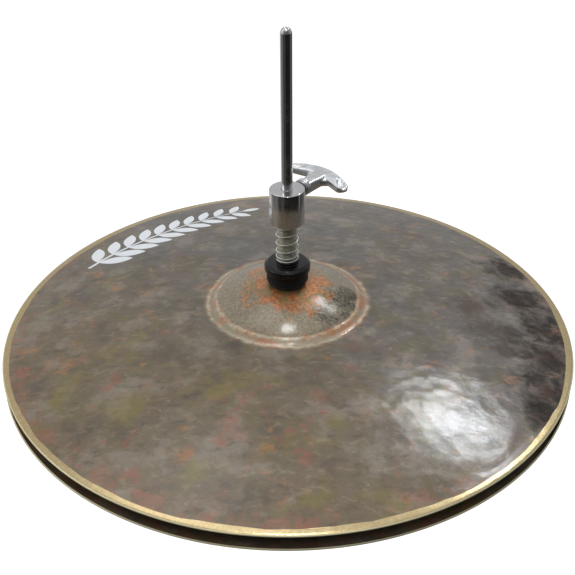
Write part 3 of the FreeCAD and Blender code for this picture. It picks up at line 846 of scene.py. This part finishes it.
def sheet_top(x, y):
    """Height of the top cymbal's hammered face at a point, between the four nearest grid points."""
    relief = cymbal_relief("top_cymbal")
    radius, turn = math.hypot(x, y), math.atan2(y, x) % TAU / TAU * CYMBAL_SEGMENTS
    row = int(np.clip(np.searchsorted(OUTER_ROWS, radius) - 1, 0, len(OUTER_ROWS) - 2))
    share = (radius - OUTER_ROWS[row]) / (OUTER_ROWS[row + 1] - OUTER_ROWS[row])
    column = int(turn)
    part, following = turn - column, (column + 1) % CYMBAL_SEGMENTS
    low, high = (relief[n, column] * (1 - part) + relief[n, following] * part for n in (row, row + 1))
    depth = low * (1 - share) + high * share
    return bottom_of("top_cymbal") + SHEET + section_height(radius) - depth


def ink_slab(rows):
    """A thin closed layer of ink over a grid of flat points."""
    loops = []
    for row in rows:
        over, under = ([(x, y, sheet_top(x, y) + lift) for x, y in row] for lift in (0.06, -0.1))
        loops.append(over + under[::-1])
    return capped(loops)


def leaf(base, heading, gap, length, width):
    """A leaf that starts a gap away from its base point."""
    rows = []
    side = np.array([-heading[1], heading[0]])
    centre = base + heading * (length / 2 + gap)
    for share in np.linspace(0, 1, 15):
        half = width / 2 * math.sin(math.pi * share) ** 0.8 + 0.02
        spot = centre + heading * (share - 0.5) * length
        rows.append([spot + side * half * part for part in np.linspace(-1, 1, 5)])
    return ink_slab(rows)


def stem_point(share):
    """The sprig's spine, a long shallow curve round the bow."""
    angle = math.radians(157 - 53 * share)
    reach = 149 - 8 * share - 8 * math.sin(math.pi * share)
    return np.array([math.cos(angle), math.sin(angle)]) * reach


def heading_at(before, after):
    ahead = stem_point(after) - stem_point(before)
    return ahead / np.linalg.norm(ahead)


def build_ornament():
    """A plain printed sprig of leaves, laid on the top cymbal's bow."""
    last, pairs, spread = 59, 10, math.radians(48)
    spine = [stem_point(share) for share in np.linspace(0, 1, last + 1)]
    rows = []
    for number, spot in enumerate(spine):
        ahead = spine[min(number + 1, last)] - spine[max(number - 1, 0)]
        side = np.array([-ahead[1], ahead[0]]) / np.linalg.norm(ahead)
        half = 1.1 - 0.7 * number / last
        rows.append([spot + side * half, spot, spot - side * half])
    shapes = [ink_slab(rows)]
    for number in range(pairs):
        share = (number + 0.6) / (pairs + 0.4)
        ahead = heading_at(share - 0.02, min(share + 0.02, 1))
        length = 24 - 8 * share
        for side in (1, -1):
            heading = rotated(ahead, spread * side)
            shapes.append(leaf(stem_point(share), heading, 1.2, length, length * 0.4))
    shapes.append(leaf(stem_point(1.0), heading_at(0.97, 1.0), 0, 14, 5.5))
    sprig = object_from("printed_sprig", mesh_from("printed_sprig", joined(*shapes), merge=False))
    extra("printed_sprig", sprig, "top_cymbal", "ink", sharp=60)


# ---- rod and clutch

STUD = 3.0


def build_rod():
    low, top, radius = sizes("pull_rod")
    thread, step, shoulder = 3.2, low + 8, low + 15
    outline = rounded([(thread - 0.1, shoulder - 0.5), (radius - 0.1, shoulder), (radius, shoulder + 0.3),
                       (radius, top - 3.2, 1.6), (2.72, top - 1.44, 1.6), (1.02, top, 1.6)])
    rows = [(0, low), (STUD - 0.5, low), *thread_rows(STUD, low + 0.6, step - 0.2),
            *thread_rows(thread, step, shoulder - 0.8), *outline, (0, top)]
    finished("pull_rod", spun(rows, THREAD_SEGMENTS), "chrome", sharp=50)
    low, top, radius = sizes("rod_lock_nut")
    finished("rod_lock_nut", hex_nut(radius, thread, low, top), "steel")


def wing_frame():
    """From the wing's own frame, +X along its screw, to the whole object's."""
    turn = joint("wing_turn")
    heading = math.atan2(turn["axis"][1], turn["axis"][0])
    height = (bottom_of("wing_lock_washer") + top_of("wing_lock_washer")) / 2
    return at(z=height) @ Matrix.Rotation(heading, 4, "Z")


def build_clutch():
    low, top, radius = sizes("clutch_body")
    tube_low, tube_top, tube = sizes("clutch_tube")
    rod = radius_of("pull_rod") + 0.05
    body = solid("body", lathe([
        (tube, low, 0.2), (radius, low, 0.7), (radius, top, 0.45), (rod, top, 0.35),
        (rod, tube_top + 0.2), (tube, tube_top + 0.2)], 144))
    drill = cylinder(STUD + 0.05, 0, radius * 2, 64)
    finished("clutch_body", cut(body, moved(drill, wing_frame() @ ALONG_X)), "chrome", sharp=40)
    bore, chamfer = 3.6, 0.5
    rows = [(bore, tube_low), (tube - chamfer, tube_low),
            *thread_rows(tube, tube_low, tube_top, depth=0.28)[4:-4],
            (tube - chamfer, tube_top), (bore, tube_top)]
    finished("clutch_tube", spun(rows, THREAD_SEGMENTS), "thread_steel", sharp=60)


def build_spring():
    """Round wire with a closed coil at the bottom, an open middle and a half-closed top."""
    coil, wire, samples, smoothings = 6.6, 0.45, 420, 160
    low, top = bottom_of("clutch_spring") + wire, top_of("clutch_spring") - wire
    turns = np.array([0, 0.6, 1.35, 2.35, 3.35, 4.35, 5.35, 6.1])
    shares = np.array([0, 0.035, 0.12, 0.31, 0.53, 0.76, 0.965, 1.0])
    spot = np.linspace(0, turns[-1], samples)
    share = np.interp(spot, turns, shares)
    for _ in range(smoothings):
        share[1:-1] = (share[:-2] + share[1:-1] * 2 + share[2:]) / 4
    angle = spot * TAU - math.pi * 0.95
    line = np.stack([coil * np.cos(angle), coil * np.sin(angle), low + share * (top - low)], -1)
    outward = np.stack([np.cos(angle), np.sin(angle), np.zeros_like(angle)], -1)
    upward = np.cross(directions(line), outward)
    turn = angles(12)
    rings = []
    for number, centre in enumerate(line):
        size = 0 if number in (0, samples - 1) else wire
        rings.append(centre + size * (np.outer(np.cos(turn), outward[number])
                                      + np.outer(np.sin(turn), upward[number])))
    made = finished("clutch_spring", loft(rings, closed=False), "spring_wire", sharp=70)
    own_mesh(made)


def felt_piece(node, corners, slot, cell=0.7):
    """A turned piece of felt: evenly divided, so that its matted surface is real relief."""
    outline = rounded(corners, 5)
    fine = []
    for here, ahead in zip(outline, outline[1:] + outline[:1]):
        steps = max(1, int(np.linalg.norm(ahead - here) / cell))
        fine.extend(here + (ahead - here) * step / steps for step in range(steps))
    mesh = mesh_from(node, spun(fine, int(TAU * max(p[0] for p in fine) / cell)))
    roughen(mesh, -0.12, 1.1)
    roughen(mesh, -0.1, 3.7, 5.0)
    finished(node, object_from(node, mesh), slot, sharp=80)


def felt_washer(node, bore, edge, slot, cell=0.7):
    """A flat felt ring with well-rounded outer edges, for a node on the main axis."""
    low, top, radius = sizes(node)
    outer = radius - 0.1
    felt_piece(node, [(bore, low, 0.5), (outer, low, edge), (outer, top, edge), (bore, top, 0.5)], slot, cell)


def build_cup_and_felts():
    tube = radius_of("clutch_tube")
    low, top, radius = sizes("felt_cup")
    bore, neck, brim = tube + 0.1, 7.1, low + 5.5
    finished("felt_cup", lathe([
        (bore, low, 0.2), (radius, low, 0.5), (radius, low + 4.1, 0.8), (12.0, brim, 1.0), (neck, brim, 0.3),
        (neck, top, 0.4), (bore, top, 0.2)], 128), "black_plastic", sharp=50)
    low, top, radius = sizes("top_felt")
    bore, outer = tube + 0.25, radius - 0.1
    felt_piece("top_felt", [(bore, low, 0.4), (10.8, low, 1.2), (outer, low + 3.2, 2.5), (outer, top, 0.7),
                            (bore, top, 0.4)], "black_felt")
    felt_washer("lower_felt", bore, 1.2, "black_felt")


def build_clutch_nut():
    low, top, radius = sizes("clutch_nut")
    tube = radius_of("clutch_tube")
    finished("clutch_nut", hex_nut(radius, tube + 0.05, low, top), "chrome")
    plain_ring("nut_washer", tube + 0.1, 0.35, "steel")


# ---- wing screw

# Places along the screw, from the rod's axis.
GRIP_START = 12.6
WASHER_START = 12.7
COLLAR_START = 14.0
STUD_END = 28.0
WING_ROLL = math.radians(5)


def wing_grip():
    """The two arms as one swept bar, with a stem and gussets, melted into a single casting."""
    half = [(36.4, 0.0, 0.0, 5.2, 3.0), (35.9, 4.5, 0.0, 5.0, 3.0), (34.5, 9.0, 0.0, 4.6, 3.0),
            (32.8, 13.2, 0.0, 4.5, 2.9), (31.2, 17.0, -0.1, 4.1, 2.6)]
    other = [(s, -t, n, w, h) for s, t, n, w, h in reversed(half[1:])]
    stem = [(16.0, 0, -0.6, 3.9, 3.9), (23.0, 0, -0.6, 4.0, 3.8), (29.0, 0, -0.4, 4.7, 3.5),
            (35.0, 0, -0.1, 4.6, 3.0)]
    solids = [sweep(curve_through(other + half, 60), 3.6), sweep(curve_through(stem, 30), 6.0)]
    for side in (1, -1):
        gusset = [(26.5, 2.2 * side, -1.0, 1.9, 2.6), (30.0, 4.2 * side, -0.9, 2.0, 2.5),
                  (32.8, 8.0 * side, -0.6, 2.2, 2.4)]
        solids.append(sweep(curve_through(gusset, 20), 2.5))
    grip = melt(solid("grip", joined(*solids)), 0.28)
    tip, dish_s, dish_t, dish_depth = 16.8, 3.0, 5.2, 1.9
    for vertex in grip.data.vertices:
        s, t, n = vertex.co / MM
        from_tip = tip - abs(t)
        far = (from_tip / dish_t) ** 2 + ((s - 31.5 - from_tip * 0.4) / dish_s) ** 2
        if n >= 0 and far < 1:
            vertex.co.z -= dish_depth * MM * (1 - far)
    return cut(grip, moved(cylinder(30, 0, 4, 32), at(x=GRIP_START) @ ALONG_X))


def split_ring(outer, inner, bottom, top):
    """A spring washer: a flat ring cut through at one place."""
    section = rounded([(inner, bottom, 0.15), (outer, bottom, 0.25), (outer, top, 0.25),
                       (inner, top, 0.15)], 3)
    middle = [np.mean(section, axis=0)] * len(section)
    gap = 7
    turns = [math.radians(degrees) for degrees in np.linspace(gap / 2, 360 - gap / 2, 73)]
    stations = [(turns[0], middle), *[(turn, section) for turn in turns], (turns[-1], middle)]
    return loft([[(r * math.cos(turn), r * math.sin(turn), z) for r, z in outline]
                 for turn, outline in stations], closed=False)


def build_wing():
    place = wing_frame()
    rolled = place @ Matrix.Rotation(WING_ROLL, 4, "X")
    point = 3.43
    rows = [(0, point), (2.3, point), *thread_rows(STUD, 3.6, STUD_END), (0, STUD_END)]
    finished("wing_stud", moved(spun(rows, THREAD_SEGMENTS), place @ ALONG_X), "steel", sharp=60)
    bore = STUD + 0.05
    washer = split_ring(5.0, bore, WASHER_START, COLLAR_START)
    finished("wing_lock_washer", moved(washer, place @ ALONG_X), "steel")
    grip = wing_grip()
    grip.data.transform(Matrix.Translation(rolled.translation * MM) @ rolled.to_3x3().to_4x4())
    finished("wing_handle", grip, "cast_chrome", sharp=60)
    section = [(bore, 0, 0.1), (5.3, 0, 0.3), (5.3, 1.2, 0.3), (4.6, 1.3, 0.1), (4.6, 1.7, 0.1),
               (5.3, 1.8, 0.3), (5.3, 3.0, 0.3), (4.4, 3.3, 0.2), (bore, 3.3, 0.1)]
    collar = lathe([(radius, COLLAR_START + height, edge) for radius, height, edge in section], 72)
    extra("wing_collar", moved(collar, rolled @ ALONG_X), "wing_handle", "cast_chrome", sharp=40)


# ---- seat and stand

def build_seat():
    ear_low, spigot_top, radius = sizes("seat_plate")
    plate_low, plate_top = top_of("seat_washer") - 4.2, bottom_of("seat_washer")
    bore, spigot, ear = 4.9, 5.5, 4.5
    disc = solid("disc", lathe([
        (bore, plate_low, 0.3), (radius, plate_low, 0.9), (radius, plate_top, 0.9),
        (spigot, plate_top, 0.1), (spigot, spigot_top, 0.25), (bore, spigot_top, 0.2)], 128))
    outline = rounded([(-ear, plate_low + 1, 0.1), (-ear, ear_low, 4.4), (ear, ear_low, 4.4),
                       (ear, plate_low + 1, 0.1)], 10)
    for faces in ((10.0, 14.0), (-14.0, -10.0)):
        lug = solid("lug", capped([[(x, y, z) for x, z in outline] for y in faces]))
        modify(lug, "BEVEL", width=0.35 * MM, segments=2, limit_method="ANGLE")
        combine(disc, settle(lug), "UNION")
    drill = cylinder(2.05, -30, 30, 48)
    cut(disc, moved(drill, at(z=ear_low + ear) @ ALONG_MINUS_Y))
    finished("seat_plate", disc, "cast_chrome")

    sleeve = radius_of("seat_sleeve") + 0.25
    plain_ring("seat_sleeve", spigot, 0.2, "black_plastic")
    plain_ring("seat_washer", sleeve, 0.3, "steel", 128)
    felt_washer("seat_felt", sleeve, 1.3, "grey_felt", 0.9)


def build_base():
    """The base is the CAD casting itself with its corners melted soft."""
    casting = melt(object_from("casting", frame["nodes"]["seat_base"].data.copy()), 0.35)
    finished("seat_base", casting, "cast_chrome", sharp=50)
    plain_ring("rod_bush", radius_of("pull_rod") + 0.05, 0.4, "nylon")
    low, top, outer = sizes("stand_tube")
    inner, neck, step = outer - 1.2, 9.0, top - 25
    finished("stand_tube", lathe([
        (inner, low, 0.3), (outer, low, 0.4), (outer, step, 0.2), (neck, step, 0.1), (neck, top, 0.2),
        (inner, top, 0.2)], 128), "chrome", sharp=40)


def socket_head(radius, depth, socket, height):
    """A screw head whose end has a hexagonal socket, along +Z with its face at the given height."""
    segments = 72
    hollow = hexagon(socket, angles(segments))
    under, bed = height - depth, height - depth * 0.6
    return spun([(0, under), (radius, under), (radius, height - 0.4), (radius - 0.4, height),
                 (hollow + 0.15, height), (hollow, height - 0.15), (hollow, bed), (0, bed)], segments)


def build_screws():
    low, high = extent("pivot_screws")
    level, reach = (low[2] + high[2]) / 2, high[1]
    pair = []
    for side in (1, -1):
        facing = at(z=level) @ Matrix.Rotation(math.radians(-90 * side), 4, "X")
        shank = lathe([(0, 6.5), (1.7, 6.5), (2.0, 6.8), (2.0, reach - 1.7), (0, reach - 1.7)], 48)
        pair += [moved(socket_head(3.5, 1.9, 1.7, reach), facing), moved(shank, facing)]
    finished("pivot_screws", joined(*pair), "steel", sharp=30)

    low, high = extent("base_clamp_screw")
    clamp = socket_head(2.5, 3.0, 1.35, -low[1])
    finished("base_clamp_screw", moved(clamp, at(z=(low[2] + high[2]) / 2) @ ALONG_MINUS_Y), "steel",
             sharp=30)

    low, high = extent("tilt_screw")
    place = at(x=(low[0] + high[0]) / 2)
    bottom, top, knob = low[2], high[2], (high[0] - low[0]) / 2
    segments = 120
    grip = knob - 0.35 * (0.5 + 0.5 * np.cos(angles(segments) * 24))
    section = [(0, 0), (knob - 1.6, 0), (knob - 0.9, 0.4), (grip, 1.2), (grip, 6.8), (knob - 0.9, 7.6),
               (3.2, 8.0)]
    rows = [*[(radius, bottom + height) for radius, height in section],
            *thread_rows(2.5, bottom + 8.2, top - 0.6, 0.35, 0.8, segments), (1.9, top), (0, top)]
    finished("tilt_screw", moved(spun(rows, segments), place), "chrome", sharp=40)
    low, high = extent("tilt_lock_nut")
    nut = hex_nut((high[0] - low[0]) / 2, 2.55, low[2], high[2])
    finished("tilt_lock_nut", moved(nut, place), "steel", sharp=30)


# ---- stage

def build_stage():
    """A pale floor well below the object, which is held by its tube as on a stand."""
    size, drop = 30.0, 1.0
    mesh = bpy.data.meshes.new("floor")
    corners = [(-size, -size, -drop), (size, -size, -drop), (size, size, -drop), (-size, size, -drop)]
    mesh.from_pydata(corners, [], [(0, 1, 2, 3)])
    mesh.materials.append(material_for("floor"))
    sheet = object_from("floor", mesh)
    sheet.visible_glossy = sheet.visible_diffuse = False


# Greys above and below the horizon, as (degrees, grey): 0 is behind the camera and 90 is to its right.
UPPER_WALL = [(-180, 0.52), (-120, 0.6), (-85, 0.7), (-50, 0.3), (-30, 0.12), (40, 0.1), (70, 0.25),
              (120, 0.42), (180, 0.52)]
LOWER_WALL = [(-180, 0.6), (-125, 0.62), (-110, 0.3), (-98, 0.15), (-62, 0.14), (-52, 0.03), (-40, 0.02),
              (-32, 0.06), (-22, 0.06), (-14, 0.012), (70, 0.012), (78, 0.03), (84, 0.22), (90, 0.04),
              (112, 0.07), (140, 0.16), (180, 0.6)]


def build_world():
    """A soft studio: white to the camera, and light and dark walls for the metal to reflect."""
    world = bpy.data.worlds.new("studio")
    bpy.context.scene.world = world
    world.use_nodes = True
    nodes = Nodes(world.node_tree)
    x, y, z = nodes.parts(nodes.add("ShaderNodeTexCoord").outputs["Generated"])
    heading = nodes.math("ARCTAN2", x, nodes.times(y, -1.0))
    share = nodes.plus(nodes.math("DIVIDE", heading, TAU), 0.5)

    def wall(stops):
        made = nodes.add("ShaderNodeValToRGB", {"Fac": share})
        line = made.color_ramp.elements
        while len(line) < len(stops):
            line.new(0.5)
        for element, (degrees, grey) in zip(line, stops):
            element.position = (degrees + 180) / 360
            element.color = colour(grey)
        return made.outputs["Color"]

    studio = nodes.mix(nodes.band(z, -0.06, 0.04), wall(LOWER_WALL), wall(UPPER_WALL))
    studio = nodes.mix(nodes.band(z, 0.75, 0.98), studio, (0.55, 0.55, 0.56, 1.0))
    seen = nodes.add("ShaderNodeLightPath").outputs["Is Camera Ray"]
    tone = nodes.mix(seen, studio, 1.0)
    backdrop = nodes.add("ShaderNodeBackground", {"Color": tone, "Strength": 1.0})
    nodes.add("ShaderNodeOutputWorld", {"Surface": backdrop.outputs[0]})


WHITE = (1.0, 1.0, 1.0)
# Lamps as: name, heading from straight behind the object and height (degrees), distance and size (metres),
# radiance, tint.
LAMPS = [
    ("window", 37, 50.5, 2.4, (0.5, 0.05), 126.0, (0.9, 0.95, 1.0)),
    ("overhead", 0, 88.5, 2.4, (0.18, 0.18), 55.0, WHITE),
    ("side_left", -42, 66, 2.4, (0.9, 0.7), 1.2, WHITE),
    ("fill_left", -95, 35, 2.6, (1.2, 0.8), 1.1, WHITE),
    ("fill_front", 180, 57, 2.4, (2.0, 0.9), 1.0, WHITE),
]


def build_lights():
    """Rectangular lamps, each aimed at the object."""
    target = Vector((0, 0, 0.2))
    for name, heading, height, distance, size, radiance, tint in LAMPS:
        lamp = bpy.data.lights.new(name, "AREA")
        lamp.shape = "RECTANGLE"
        lamp.size, lamp.size_y = size
        lamp.energy = radiance * math.pi * size[0] * size[1]
        lamp.color = tint
        holder = object_from(name, lamp)
        turn, rise = math.radians(heading), math.radians(height)
        holder.location = target + distance * Vector((
            math.sin(turn) * math.cos(rise), math.cos(turn) * math.cos(rise), math.sin(rise)))
        holder.rotation_euler = (target - holder.location).to_track_quat("-Z", "Y").to_euler()


# The photo's camera, fitted to the rims, the bell's ring and the rod. The eye is in metres from the axis and
# above the top rim, the turns are in degrees, and the lens is in millimetres.
EYE_BACK = 0.4888
EYE_ABOVE_RIM = 0.3480
PITCH = 33.14
ROLL = -0.34
LENS = 58.36
SENSOR = 36.0


def build_camera():
    camera = bpy.data.cameras.new("camera")
    camera.sensor_width = SENSOR
    camera.lens = LENS
    camera.clip_start, camera.clip_end = 0.02, 60.0
    holder = object_from("camera", camera)
    holder.location = (0.0, -EYE_BACK, bottom_of("top_cymbal") * MM + EYE_ABOVE_RIM)
    tipped = Euler((math.pi / 2 - math.radians(PITCH), 0, 0)).to_matrix()
    holder.rotation_euler = (tipped @ Matrix.Rotation(math.radians(ROLL), 3, "Z")).to_euler()
    bpy.context.scene.camera = holder


def main():
    for build in (build_camera, build_world, build_lights, build_stage, build_cymbals, build_ornament,
                  build_rod, build_clutch, build_spring, build_cup_and_felts, build_clutch_nut, build_wing,
                  build_seat, build_base, build_screws):
        build()
    settings = bpy.context.scene.view_settings
    settings.view_transform = "Standard"
    settings.look = "None"


main()
